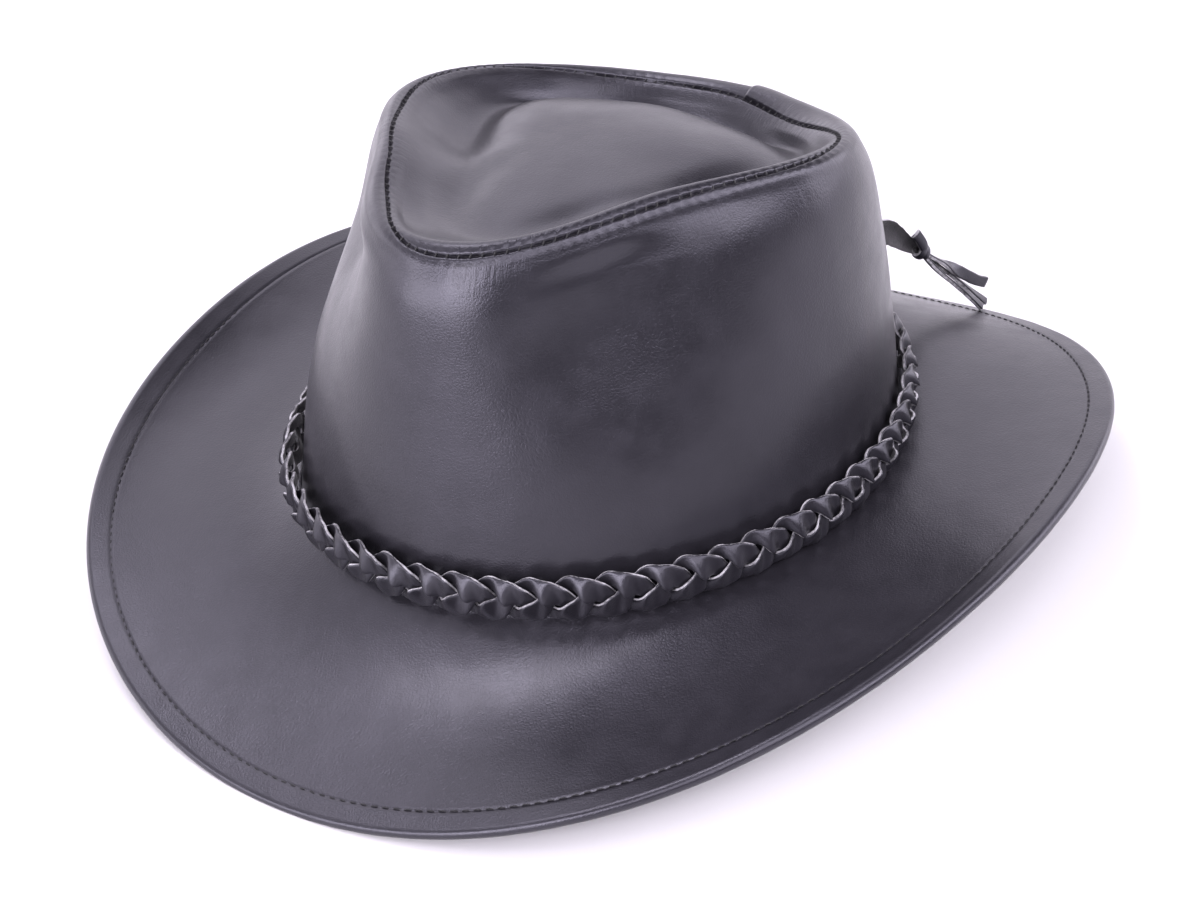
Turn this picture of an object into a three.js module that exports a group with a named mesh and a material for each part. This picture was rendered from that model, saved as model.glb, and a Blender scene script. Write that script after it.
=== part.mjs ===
import * as THREE from 'three';

// A black leather hat with a pinched teardrop crown, a brim that curls up at the sides and a plaited band.
// Millimetres. The wearer faces -Y, the wearer's left is +X, and the hat stands on its brim at z = 0.
// The sizes below are measured from the head's axis, and the last lines move the hat so that the origin
// lies below the middle of the brim.

// Leather
const CROWN_LEATHER = 2;
const BRIM_LEATHER = 2.4;
const PIECE_GAP = 0.3;
const SEAM_GAP = 0.6;
const LEATHER_COLOUR = 0x1d1c22;
const BAND_COLOUR = 0x242329;

// How far the middle of the brim lies in front of the head's axis
const BRIM_FORWARD = 7.15;

// Fineness of the walls
const WALL_SECTIONS = 60;

// Sections of the hat from the front (first row) round either side to the back (last row), evenly turned.
// edge: the brim's folded edge. edgeSlope: the brim's pitch there, in radians, upwards positive.
// base: the foot of the crown wall. rim: the highest line of the crown, on the wearer's left and right.
// seamLeft, seamRight: the tip's seam, measured over the rim from its highest line, inwards positive.
// valleyShare: how far out the crease inside the rim lies, as a share of the rim's radius.
// valleyDown: how far the crease lies below the rim.
const SECTIONS = [
  {
    edgeOut: 165.6, edgeUp: 0.1, edgeSlope: -0.7, baseOut: 99.6, baseUp: 25.2, baseSlope: -0.06,
    rimLeft: 73.7, rimRight: 73.7, rimUp: 127.6, seamLeft: -3.8, seamRight: -3.8,
    valleyShare: 0.72, valleyDown: 11,
  },
  {
    edgeOut: 164.4, edgeUp: 10.5, edgeSlope: -0.3, baseOut: 97.7, baseUp: 25.4, baseSlope: -0.08,
    rimLeft: 64.3, rimRight: 62.8, rimUp: 129.3, seamLeft: -3.4, seamRight: 3.5,
    valleyShare: 0.66, valleyDown: 14,
  },
  {
    edgeOut: 156.8, edgeUp: 28.2, edgeSlope: 0.38, baseOut: 94.1, baseUp: 25.9, baseSlope: -0.12,
    rimLeft: 57.5, rimRight: 55.5, rimUp: 131, seamLeft: -4.2, seamRight: 1.3,
    valleyShare: 0.62, valleyDown: 16,
  },
  {
    edgeOut: 152.9, edgeUp: 36.5, edgeSlope: 0.42, baseOut: 92.1, baseUp: 26.3, baseSlope: -0.14,
    rimLeft: 67.6, rimRight: 65.6, rimUp: 129, seamLeft: -1, seamRight: 3.5,
    valleyShare: 0.66, valleyDown: 16,
  },
  {
    edgeOut: 159.5, edgeUp: 31, edgeSlope: 0.1, baseOut: 93.6, baseUp: 26.3, baseSlope: -0.12,
    rimLeft: 76.5, rimRight: 74.6, rimUp: 121.6, seamLeft: 4.5, seamRight: 3,
    valleyShare: 0.78, valleyDown: 14,
  },
  {
    edgeOut: 157.5, edgeUp: 11.5, edgeSlope: -0.25, baseOut: 98.2, baseUp: 26.3, baseSlope: -0.08,
    rimLeft: 74.6, rimRight: 75, rimUp: 114, seamLeft: 6.2, seamRight: 4.2,
    valleyShare: 0.86, valleyDown: 11,
  },
  {
    edgeOut: 151.2, edgeUp: 0.3, edgeSlope: -0.45, baseOut: 101.2, baseUp: 26.3, baseSlope: -0.06,
    rimLeft: 74.2, rimRight: 74.2, rimUp: 111.6, seamLeft: 5.5, seamRight: 5.5,
    valleyShare: 0.88, valleyDown: 9,
  },
];

// The crown's axis at its foot and at its rim
const BASE_MIDDLE = { x: 0, y: 2.5 };
const RIM_MIDDLE = { x: 3.1, y: 2.6 };
const RIM_TILT = 0.012;

// The crown wall from its foot to its shoulder: share of the height, outward swell.
const WALL_ROWS = [
  { up: 0, swell: 0 },
  { up: 0.22, swell: 0.6 },
  { up: 0.45, swell: 1.1 },
  { up: 0.67, swell: 1.2 },
  { up: 0.86, swell: 0.7 },
];
const WALL_CURVE = 1.15;
const SHOULDER_OUT = 6;

// The roll of leather over the rim: run over the rim, outward, downward.
const RIM_ROWS = [
  { run: -8.2, out: 5.5, down: 5.6 },
  { run: -3.6, out: 3.2, down: 1.6 },
  { run: 0, out: 0, down: 0 },
  { run: 3.7, out: -3.4, down: 1.3 },
  { run: 10.2, out: -8.4, down: 5.4 },
];

// The dome from the crease to the middle of the tip: share of the way in, share of the rise.
const DOME_ROWS = [
  { inward: 0, rise: 0 },
  { inward: 0.18, rise: 0.46 },
  { inward: 0.38, rise: 0.84 },
  { inward: 0.66, rise: 0.98 },
  { inward: 1, rise: 1 },
];
const DOME_TOP = { x: 4, y: 20, z: 121.8 };

// The pinch pressed into both front quarters of the crown
const PINCH = { turnFromFront: 50, turnWidth: 21, height: 0.76, heightWidth: 0.23, depth: 6 };

// The brim's section: share of the way out, depth below the upper face.
const BRIM_OUTLINE = [
  { reach: -0.031, depth: 0 },
  { reach: 0, depth: 0 },
  { reach: 0.2, depth: 0 },
  { reach: 0.42, depth: 0 },
  { reach: 0.64, depth: 0 },
  { reach: 0.8, depth: 0 },
  { reach: 0.885, depth: 0 },
  { reach: 0.91, depth: -0.3 },
  { reach: 0.97, depth: -0.3 },
  { reach: 1, depth: 0.5 },
  { reach: 1.006, depth: 1.5 },
  { reach: 1, depth: 2.5 },
  { reach: 0.97, depth: 3.3 },
  { reach: 0.91, depth: 3.3 },
  { reach: 0.885, depth: BRIM_LEATHER },
  { reach: 0.64, depth: BRIM_LEATHER },
  { reach: 0.42, depth: BRIM_LEATHER },
  { reach: 0.2, depth: BRIM_LEATHER },
  { reach: -0.031, depth: BRIM_LEATHER },
];
const EDGE_MIDDLE_DEPTH = 1.5;

// Where the crown's pieces have a row of corners, as a share of the way over each piece.
// The side runs from its foot through its shoulder to the seam.
// The tip runs from the seam through the crease to the middle.
const SIDE_STATIONS = [0, 0.13, 0.26, 0.38, 0.49, 0.6, 0.7, 0.8, 0.9, 1];
const SIDE_SHOULDER = 0.6;
const TIP_STATIONS = [0, 0.1, 0.2, 0.3, 0.4, 0.5, 0.62, 0.74, 0.87, 1];
const TIP_CREASE = 0.5;

// The plaited band: three flat strands that cross over and under each other.
const STRANDS = 3;
const STRAND_WIDTH = 4.6;
const STRAND_THICKNESS = 1.3;
const STRAND_CORNERS = 4;
const PLAIT_TURNS = 19;
const PLAIT_STEPS = 9;
const PLAIT_UP = { first: 4.97, third: 1.16 };
const PLAIT_OUT = { second: 2.4, fourth: -0.11 };
const PLAIT_TILT = 0.12;
const BAND_HALF_DEPTH = 3.15;
const BAND_HALF_HEIGHT = 6.9;

// The tie behind the wearer's left ear, in or beside one upright plane through the hat's axis.
// Its angle is turned from the wearer's left towards the back.
const TIE_ANGLE = THREE.MathUtils.degToRad(65);
const LACE_THICKNESS = 1.5;
const LACE_CHAMFER = 0.35;
const KNOT = {
  out: 127.3,
  up: 45.3,
  pitch: -0.66,
  halfLength: 3.6,
  endRadius: 2.7,
  radius: 3.7,
  sides: 10,
};

// Routes of the laces of the tie: out from the hat's axis, up from the table.
const LOOP = {
  width: 7,
  thickness: 2 * LACE_THICKNESS,
  onEdge: true,
  aside: 0,
  steps: 8,
  route: [
    { out: 103.4, up: 41.2 },
    { out: 104.8, up: 48.2 },
    { out: 108.6, up: 53.6 },
    { out: 113.8, up: 55 },
    { out: 119.4, up: 51.4 },
    { out: 124.2, up: 47.7 },
  ],
};
const SHORT_END = {
  width: 4.4,
  thickness: LACE_THICKNESS,
  onEdge: false,
  aside: 0,
  steps: 2,
  route: [
    { out: 128.4, up: 49.8 },
    { out: 128, up: 52 },
    { out: 127, up: 53.8 },
  ],
};
const UPPER_END = {
  width: 5,
  thickness: LACE_THICKNESS,
  onEdge: false,
  aside: 0,
  steps: 5,
  route: [
    { out: 131.2, up: 43.7 },
    { out: 136.3, up: 38.7 },
    { out: 142.4, up: 32 },
    { out: 149, up: 25.6 },
    { out: 156.5, up: 20.7 },
  ],
};
const LEFT_END = {
  width: 3.6,
  thickness: LACE_THICKNESS,
  onEdge: false,
  aside: -2.1,
  steps: 5,
  route: [
    { out: 130.2, up: 41.6 },
    { out: 134.9, up: 34.9 },
    { out: 141.2, up: 26 },
    { out: 147.6, up: 18.2 },
    { out: 154.2, up: 12.5 },
  ],
};
const RIGHT_END = {
  width: 3.6,
  thickness: LACE_THICKNESS,
  onEdge: false,
  aside: 2.1,
  steps: 5,
  route: [
    { out: 130.2, up: 41.6 },
    { out: 134.9, up: 34.7 },
    { out: 141.4, up: 25.4 },
    { out: 148.2, up: 17 },
    { out: 154.6, up: 11.6 },
  ],
};

// Turns the values in one column of the table into a smooth curve round the hat.
function columnWaves(column) {
  const last = SECTIONS.length - 1;
  return SECTIONS.map((_, wave) => {
    let sum = 0;
    SECTIONS.forEach((section, index) => {
      const share = index === 0 || index === last ? 0.5 : 1;
      sum += share * section[column] * Math.cos((Math.PI * wave * index) / last);
    });
    const scale = wave === 0 || wave === last ? 1 : 2;
    return (scale * sum) / last;
  });
}

const WAVES = {};
for (const column of Object.keys(SECTIONS[0])) {
  WAVES[column] = columnWaves(column);
}

// The value of a column at an angle, which is 0 on the wearer's left and a quarter turn at the back.
function around(column, angle) {
  const turn = angle + Math.PI / 2;
  return WAVES[column].reduce((sum, height, wave) => sum + height * Math.cos(wave * turn), 0);
}

// The value of a pair of columns, one for each side of the hat
function sided(column, angle) {
  return around(`${column}${Math.cos(angle) > 0 ? 'Left' : 'Right'}`, angle);
}

function mix(from, to, share) {
  return from + (to - from) * share;
}

// The brim's upper face
function brimFace(angle, reach) {
  const baseX = around('baseOut', angle) * Math.cos(angle) + BASE_MIDDLE.x;
  const baseY = around('baseOut', angle) * Math.sin(angle) + BASE_MIDDLE.y;
  const edgeX = around('edgeOut', angle) * Math.cos(angle);
  const edgeY = around('edgeOut', angle) * Math.sin(angle);
  const width = Math.hypot(edgeX - baseX, edgeY - baseY);
  const edgeSlope = around('edgeSlope', angle);
  const edgeTop = around('edgeUp', angle) + EDGE_MIDDLE_DEPTH * Math.cos(edgeSlope);
  const s = Math.max(reach, 0);
  const rise = s * s * (3 - 2 * s);
  const leaveBase = s * (1 - s) * (1 - s) * Math.tan(around('baseSlope', angle)) * width;
  const meetEdge = s * s * (s - 1) * Math.tan(edgeSlope) * width;
  const height = mix(around('baseUp', angle), edgeTop, rise) + leaveBase + meetEdge;
  return new THREE.Vector3(mix(baseX, edgeX, reach), mix(baseY, edgeY, reach), height);
}

// The leather sheet of the crown at one angle, as a curve from the foot of the wall to the middle of the tip
function crownCurve(angle) {
  const baseOut = around('baseOut', angle);
  const baseUp = around('baseUp', angle) + PIECE_GAP;
  const rimOut = sided('rim', angle);
  const rimX = RIM_MIDDLE.x + rimOut * Math.cos(angle);
  const rimUp = around('rimUp', angle) + RIM_TILT * rimX;
  const cos = Math.cos(angle);
  const sin = Math.sin(angle);
  const points = [];
  for (const { up, swell } of WALL_ROWS) {
    const radius = mix(baseOut, rimOut + SHOULDER_OUT, up ** WALL_CURVE) + swell;
    const x = mix(BASE_MIDDLE.x, RIM_MIDDLE.x, up) + radius * cos;
    const y = mix(BASE_MIDDLE.y, RIM_MIDDLE.y, up) + radius * sin;
    points.push(new THREE.Vector3(x, y, mix(baseUp, rimUp, up)));
  }
  for (const { out, down } of RIM_ROWS) {
    const x = RIM_MIDDLE.x + (rimOut + out) * cos;
    const y = RIM_MIDDLE.y + (rimOut + out) * sin;
    points.push(new THREE.Vector3(x, y, rimUp - down));
  }
  const valleyOut = rimOut * around('valleyShare', angle);
  const valleyX = RIM_MIDDLE.x + valleyOut * cos;
  const valleyY = RIM_MIDDLE.y + valleyOut * sin;
  const valleyUp = rimUp - around('valleyDown', angle);
  for (const { inward, rise } of DOME_ROWS) {
    const x = mix(valleyX, DOME_TOP.x, inward);
    const y = mix(valleyY, DOME_TOP.y, inward);
    points.push(new THREE.Vector3(x, y, mix(valleyUp, DOME_TOP.z, rise)));
  }
  return new THREE.CatmullRomCurve3(points);
}

const SHOULDER_ROW = WALL_ROWS.length - 1;
const CREASE_ROW = WALL_ROWS.length + RIM_ROWS.length;
const LAST_ROW = CREASE_ROW + DOME_ROWS.length - 1;

// How far the pinch presses the wall in at an angle and a height
function pinchDepth(angle, heightShare) {
  let depth = 0;
  for (const side of [-1, 1]) {
    const middle = -Math.PI / 2 + side * THREE.MathUtils.degToRad(PINCH.turnFromFront);
    const turned = THREE.MathUtils.euclideanModulo(angle - middle + Math.PI, 2 * Math.PI) - Math.PI;
    const across = turned / THREE.MathUtils.degToRad(PINCH.turnWidth);
    const along = (heightShare - PINCH.height) / PINCH.heightWidth;
    depth += PINCH.depth * Math.exp(-across * across - along * along);
  }
  return depth;
}

// A point of the crown's outer face, where row counts along the rows of the curve
function crownFace(angle, row) {
  const share = THREE.MathUtils.clamp(row / LAST_ROW, 0, 1);
  const point = crownCurve(angle).getPoint(share);
  if (row < SHOULDER_ROW + 1) {
    const heightShare = Math.min(row / SHOULDER_ROW, 1) * WALL_ROWS[SHOULDER_ROW].up;
    const fade = THREE.MathUtils.smoothstep(SHOULDER_ROW + 1 - row, 0, 1);
    const depth = fade * pinchDepth(angle, heightShare);
    point.x -= depth * Math.cos(angle);
    point.y -= depth * Math.sin(angle);
  }
  return point;
}

// The row at which the tip's seam lies, or the row that is a few millimetres beyond it
function seamRow(angle, beyond) {
  const run = sided('seam', angle) + beyond;
  const first = WALL_ROWS.length;
  let index = 0;
  while (index < RIM_ROWS.length - 2 && run > RIM_ROWS[index + 1].run) {
    index += 1;
  }
  const share = (run - RIM_ROWS[index].run) / (RIM_ROWS[index + 1].run - RIM_ROWS[index].run);
  return first + index + share;
}

const TURN_STEP = 0.01;
const ROW_STEP = 0.02;

// The direction that faces out of the leather
function crownOutward(angle, row) {
  const before = Math.max(row - ROW_STEP, 0);
  const after = Math.min(row + ROW_STEP, LAST_ROW - ROW_STEP);
  const along = crownFace(angle, after).sub(crownFace(angle, before));
  const middle = Math.min(row, LAST_ROW - ROW_STEP);
  const turn = crownFace(angle + TURN_STEP, middle).sub(crownFace(angle - TURN_STEP, middle));
  return turn.cross(along).normalize();
}

// The leather below the outer face by a depth
function crownLeather(angle, row, depth) {
  const outward = row > LAST_ROW - ROW_STEP ? new THREE.Vector3(0, 0, 1) : crownOutward(angle, row);
  return crownFace(angle, row).addScaledVector(outward, -depth);
}

// A ring of leather: a turned outline whose corners are then moved to place(angle, outward, up).
function leatherRing(outline, place) {
  const geometry = new THREE.LatheGeometry(outline, WALL_SECTIONS);
  const corners = geometry.attributes.position;
  for (let index = 0; index < corners.count; index += 1) {
    const x = corners.getX(index);
    const z = corners.getZ(index);
    const point = place(Math.atan2(-z, x), Math.hypot(x, z), corners.getY(index));
    corners.setXYZ(index, point.x, point.y, point.z);
  }
  geometry.computeVertexNormals();
  return geometry;
}

// The brim, with its edge folded over and pressed level where it stands
function placeBrim(angle, outward, up) {
  const reach = outward - 1;
  const inner = brimFace(angle, reach - TURN_STEP);
  const along = brimFace(angle, reach + TURN_STEP).sub(inner);
  const turn = brimFace(angle + TURN_STEP, reach).sub(brimFace(angle - TURN_STEP, reach));
  const face = brimFace(angle, reach);
  const outwards = reach < TURN_STEP ? new THREE.Vector3(0, 0, 1) : along.cross(turn).normalize();
  const point = face.addScaledVector(outwards, up);
  point.z = Math.max(point.z, 0);
  return point;
}

const brimOutline = BRIM_OUTLINE.map(({ reach, depth }) => new THREE.Vector2(1 + reach, -depth)).reverse();
brimOutline.push(brimOutline[0].clone());

// The crown wall, cut level at its foot
function placeSide(angle, outward, up) {
  const share = outward - 1;
  const wall = mix(0, SHOULDER_ROW, share / SIDE_SHOULDER);
  const roll = mix(SHOULDER_ROW, seamRow(angle, 0), (share - SIDE_SHOULDER) / (1 - SIDE_SHOULDER));
  const point = crownLeather(angle, share < SIDE_SHOULDER ? wall : roll, -up);
  point.z = Math.max(point.z, around('baseUp', angle) + PIECE_GAP);
  return point;
}

const sideOutline = SIDE_STATIONS.map((share) => new THREE.Vector2(1 + share, 0));
for (const share of [...SIDE_STATIONS].reverse()) {
  sideOutline.push(new THREE.Vector2(1 + share, -CROWN_LEATHER));
}
sideOutline.push(sideOutline[0].clone());

// The tip, which starts a gap inside the seam and closes over the middle
function placeTip(angle, outward, up) {
  const share = 1 - outward;
  const slope = mix(seamRow(angle, SEAM_GAP), CREASE_ROW, share / TIP_CREASE);
  const dome = mix(CREASE_ROW, LAST_ROW, (share - TIP_CREASE) / (1 - TIP_CREASE));
  return crownLeather(angle, share < TIP_CREASE ? slope : dome, -up);
}

const tipOutline = [...TIP_STATIONS].reverse().map((share) => new THREE.Vector2(1 - share, -CROWN_LEATHER));
for (const share of TIP_STATIONS) {
  tipOutline.push(new THREE.Vector2(1 - share, 0));
}

// A ring with one corner inwards, one outwards and one to each side, before it is shaped into a strand
const RING_RADIUS = 2;
const CORNER_REACH = 1;

// One strand of the plait: a flat lace that weaves up and down and in and out round the crown
function strandGeometry(strand) {
  const steps = PLAIT_TURNS * PLAIT_STEPS;
  const geometry = new THREE.TorusGeometry(RING_RADIUS, CORNER_REACH, STRAND_CORNERS, steps);
  const corners = geometry.attributes.position;
  for (let index = 0; index < corners.count; index += 1) {
    const x = corners.getX(index);
    const y = corners.getY(index);
    const across = Math.hypot(x, y) - RING_RADIUS;
    const through = corners.getZ(index);
    const angle = Math.atan2(y, x);
    const phase = PLAIT_TURNS * angle + (2 * Math.PI * strand) / STRANDS;
    const tilt = PLAIT_TILT * Math.cos(3 * phase);
    const side = ((through - across) * STRAND_WIDTH) / 2;
    const face = ((across + through) * STRAND_THICKNESS) / 2;
    const up = PLAIT_UP.first * Math.sin(phase) + PLAIT_UP.third * Math.sin(3 * phase);
    const out = PLAIT_OUT.second * Math.sin(2 * phase) + PLAIT_OUT.fourth * Math.sin(4 * phase);
    const radius = around('baseOut', angle) + PIECE_GAP + BAND_HALF_DEPTH;
    const radial = radius + out + side * Math.sin(tilt) + face * Math.cos(tilt);
    const height = around('baseUp', angle) + PIECE_GAP + BAND_HALF_HEIGHT;
    corners.setXYZ(
      index,
      BASE_MIDDLE.x + radial * Math.cos(angle),
      BASE_MIDDLE.y + radial * Math.sin(angle),
      height + up + side * Math.cos(tilt) - face * Math.sin(tilt),
    );
  }
  geometry.computeVertexNormals();
  return geometry;
}

// A point of the tie's plane, with aside measured towards the back of the hat
function tiePoint(out, up, aside) {
  const x = out * Math.cos(TIE_ANGLE) - aside * Math.sin(TIE_ANGLE);
  const y = out * Math.sin(TIE_ANGLE) + aside * Math.cos(TIE_ANGLE);
  return new THREE.Vector3(x, y, up);
}

// A flat lace along a route, with its width across the tie's plane, or in that plane if it is on edge
function laceGeometry({ width, thickness, onEdge, aside, steps, route }) {
  const path = new THREE.CatmullRomCurve3(route.map(({ out, up }) => tiePoint(out, up, aside)));
  const frames = path.computeFrenetFrames(steps, false);
  const sideways = new THREE.Vector3(-Math.sin(TIE_ANGLE), Math.cos(TIE_ANGLE), 0);
  const turn = Math.atan2(sideways.dot(frames.binormals[0]), sideways.dot(frames.normals[0]));
  const halfWidth = (onEdge ? thickness : width) / 2;
  const halfHeight = (onEdge ? width : thickness) / 2;
  const corners = [];
  for (const [x, y] of [[1, 1], [-1, 1], [-1, -1], [1, -1]]) {
    const beside = new THREE.Vector2(x * halfWidth, y * (halfHeight - LACE_CHAMFER));
    const above = new THREE.Vector2(x * (halfWidth - LACE_CHAMFER), y * halfHeight);
    corners.push(...(x * y > 0 ? [beside, above] : [above, beside]));
  }
  const middle = new THREE.Vector2(0, 0);
  const section = new THREE.Shape(corners.map((corner) => corner.rotateAround(middle, turn)));
  return new THREE.ExtrudeGeometry(section, { steps, extrudePath: path });
}

// The knot is a short barrel between the loop and the ends.
function knotGeometry() {
  const { halfLength, endRadius, radius, sides } = KNOT;
  const outline = [
    new THREE.Vector2(0, -halfLength),
    new THREE.Vector2(endRadius, -halfLength),
    new THREE.Vector2(radius, -halfLength / 3),
    new THREE.Vector2(radius, halfLength / 3),
    new THREE.Vector2(endRadius, halfLength),
    new THREE.Vector2(0, halfLength),
  ];
  return new THREE.LatheGeometry(outline, sides);
}

const leather = new THREE.MeshStandardMaterial({ color: LEATHER_COLOUR, roughness: 0.42, metalness: 0 });
const lace = new THREE.MeshStandardMaterial({ color: BAND_COLOUR, roughness: 0.38, metalness: 0 });

const hat = new THREE.Group();

function addPiece(name, geometry, material) {
  const piece = new THREE.Mesh(geometry, material.clone());
  piece.name = name;
  hat.add(piece);
  return piece;
}

addPiece('brim', leatherRing(brimOutline, placeBrim), leather);
addPiece('crown_side', leatherRing(sideOutline, placeSide), leather);
addPiece('crown_tip', leatherRing(tipOutline, placeTip), leather);
for (let strand = 0; strand < STRANDS; strand += 1) {
  addPiece(`band_strand_${strand + 1}`, strandGeometry(strand), lace);
}

const knot = addPiece('tie_knot', knotGeometry(), lace);
knot.position.copy(tiePoint(KNOT.out, KNOT.up, 0));
const knotAxis = tiePoint(Math.cos(KNOT.pitch), Math.sin(KNOT.pitch), 0);
knot.quaternion.setFromUnitVectors(new THREE.Vector3(0, 1, 0), knotAxis);
addPiece('tie_loop', laceGeometry(LOOP), lace);
addPiece('tie_short_end', laceGeometry(SHORT_END), lace);
addPiece('tie_upper_end', laceGeometry(UPPER_END), lace);
addPiece('tie_left_end', laceGeometry(LEFT_END), lace);
addPiece('tie_right_end', laceGeometry(RIGHT_END), lace);
hat.position.y = BRIM_FORWARD;

export default hat;
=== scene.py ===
import math
from math import pi, radians, tau

import bpy
import numpy as np
from mathutils import Matrix, Vector


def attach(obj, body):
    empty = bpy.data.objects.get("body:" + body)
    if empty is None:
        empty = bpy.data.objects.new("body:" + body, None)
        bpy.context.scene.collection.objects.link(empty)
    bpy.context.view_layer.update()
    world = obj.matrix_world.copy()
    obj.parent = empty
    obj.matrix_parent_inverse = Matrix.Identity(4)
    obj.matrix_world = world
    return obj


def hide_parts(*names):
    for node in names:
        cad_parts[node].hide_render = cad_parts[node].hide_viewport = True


# A black leather hat: pinched teardrop crown, brim with a stitched hem, plaited band with a tie.
# Shapes are worked out in millimetres from the head's axis. Their tables start from those of the
# solids and differ where the photograph shows more, most at the brim's front and the dome's top.

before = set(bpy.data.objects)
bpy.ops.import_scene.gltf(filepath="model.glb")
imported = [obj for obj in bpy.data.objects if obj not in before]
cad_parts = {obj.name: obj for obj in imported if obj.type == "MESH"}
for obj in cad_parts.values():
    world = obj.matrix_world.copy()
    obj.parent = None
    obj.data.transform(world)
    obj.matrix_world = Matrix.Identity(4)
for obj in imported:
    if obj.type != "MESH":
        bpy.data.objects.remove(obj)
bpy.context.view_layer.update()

MM = 0.001
SMALL = 0.01
# The head's axis is this far behind the frame's origin.
BRIM_FORWARD = 7.15
CROWN_LEATHER = 2.0
BRIM_LEATHER = 2.4
PIECE_GAP = 0.3

# Sections of the hat from the front (first value) round either side to the back (last value).
SECTIONS = {
    "edgeOut": [165.6, 164.4, 156.8, 152.9, 159.5, 157.5, 151.2],
    "edgeUp": [0.1, 10.5, 28.2, 36.5, 31.0, 11.5, 0.3],
    "edgeSlope": [-0.28, -0.14, 0.36, 0.42, 0.1, -0.25, -0.45],
    "baseOut": [99.6, 97.7, 94.1, 92.1, 93.6, 98.2, 101.2],
    "baseUp": [25.2, 25.4, 25.9, 26.3, 26.3, 26.3, 26.3],
    "baseSlope": [-0.62, -0.54, -0.2, -0.14, -0.12, -0.08, -0.06],
    "rimLeft": [73.7, 64.3, 57.5, 67.6, 76.5, 74.6, 74.2],
    "rimRight": [73.7, 62.8, 55.5, 65.6, 74.6, 75.0, 74.2],
    "rimUp": [127.6, 129.3, 131.0, 129.0, 121.6, 114.0, 111.6],
    "seamLeft": [-4.3, -3.6, -3.2, -1.8, 2.4, 7.3, 4.1],
    "seamRight": [-4.3, 1.1, 5.9, 3.3, 0.8, 3.5, 4.1],
    "valleyShare": [0.74, 0.62, 0.64, 0.64, 0.79, 0.83, 0.8],
    "valleyDown": [10.8, 14.3, 14.8, 16.5, 10.5, 11.3, 9.4],
}
BASE_MIDDLE = np.array([0.0, 2.5])
RIM_MIDDLE = np.array([3.1, 2.6])
RIM_TILT = 0.012
# Rows of the wall: how high up it they are, and how far they swell out.
WALL_UP = [0.0, 0.22, 0.45, 0.67, 0.86]
WALL_SWELL = [0.0, 0.6, 1.1, 1.2, 0.7]
WALL_CURVE = 1.15
SHOULDER_OUT = 6.0
# Rows of the rolled rim: how far along the roll, out from the rim and down from it they are.
RIM_RUN = [-8.2, -3.6, 0.0, 3.7, 10.2]
RIM_OUT = [5.5, 3.2, 0.0, -3.4, -8.4]
RIM_DOWN = [5.6, 1.6, 0.0, 1.3, 5.4]
# Rows of the dome: shares of the way in and up from the crease to the top.
DOME_INWARD = [0.0, 0.18, 0.38, 0.66, 1.0]
DOME_RISE = [0.0, 0.57, 0.79, 0.995, 1.0]
DOME_TOP = np.array([-6.5, 9.5, 121.0])
# edgeUp is the height of the middle of the edge, this far below the brim's face.
EDGE_MIDDLE_DEPTH = 1.5
# Dents of the wall, and with a minus its fullness: middle and width in degrees, depth, and how
# high up and how tall, as shares of the wall's height.
WALL_DENTS = [
    (-133, 24, 9.6, 0.8, 0.23),
    (-50, 18, 4.8, 0.74, 0.25),
    (-150, 25, -2.8, 0.4, 0.3),
]
# The foot is narrower and the seam straighter on the wearer's right: middle, width and size.
FOOT_SHIFTS = [(-158, 18.5, -4.5)]
SEAM_SHIFTS = [(-108.5, 14.4, 5.3), (-150, 19.2, -5.0)]

SHOULDER_ROW = len(WALL_UP) - 1
CREASE_ROW = len(WALL_UP) + len(RIM_RUN)
LAST_ROW = CREASE_ROW + len(DOME_INWARD) - 1

# The camera stands where the photograph was taken from, on the wearer's left front.
CAMERA_AZIMUTH = radians(37.72)
CAMERA_ELEVATION = radians(33.6)
CAMERA_ROLL = radians(-6.18)
CAMERA_DISTANCE = 679.0
CAMERA_AIM_RIGHT = 0.14
CAMERA_AIM_UP = 15.67
CAMERA_LENS = 63.85
CAMERA_SENSOR = 36
CAMERA_CLIP = (0.01, 50)


def metres(points):
    """Points in millimetres from the head's axis, as points of the row frame."""
    moved = np.array(points, float)
    moved[..., 1] += BRIM_FORWARD
    return moved * MM


def way_to(azimuth, elevation):
    """The way from the hat to a place. Azimuths grow from the front to the wearer's left."""
    flat = math.cos(elevation)
    return Vector((math.sin(azimuth) * flat, -math.cos(azimuth) * flat, math.sin(elevation)))


def add_object(name, data):
    thing = bpy.data.objects.new(name, data)
    bpy.context.scene.collection.objects.link(thing)
    return thing


def make_camera():
    back = way_to(CAMERA_AZIMUTH, CAMERA_ELEVATION)
    right = Vector((math.cos(CAMERA_AZIMUTH), math.sin(CAMERA_AZIMUTH), 0))
    up = back.cross(right)
    rolled_right = right * math.cos(CAMERA_ROLL) + up * math.sin(CAMERA_ROLL)
    rolled_up = up * math.cos(CAMERA_ROLL) - right * math.sin(CAMERA_ROLL)
    aim = right * CAMERA_AIM_RIGHT + Vector((0, BRIM_FORWARD, CAMERA_AIM_UP))
    place = (aim + back * CAMERA_DISTANCE) * MM
    turn = Matrix((rolled_right, rolled_up, back)).transposed().to_4x4()
    data = bpy.data.cameras.new("camera")
    data.lens = CAMERA_LENS
    data.sensor_width = CAMERA_SENSOR
    data.clip_start, data.clip_end = CAMERA_CLIP
    camera = add_object("camera", data)
    camera.matrix_world = Matrix.Translation(place) @ turn
    bpy.context.scene.camera = camera


make_camera()


def mix(low, high, share):
    return low + (high - low) * share


def smooth(share):
    share = np.clip(share, 0, 1)
    return share * share * (3 - 2 * share)


def bump_at(value, middle, width):
    """A smooth hump of height 1 at middle."""
    return np.exp(-(((value - middle) / width) ** 2))


def turned(angle, middle):
    """The angle past middle, from minus half a turn to half a turn."""
    return (angle - middle + pi) % tau - pi


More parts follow.
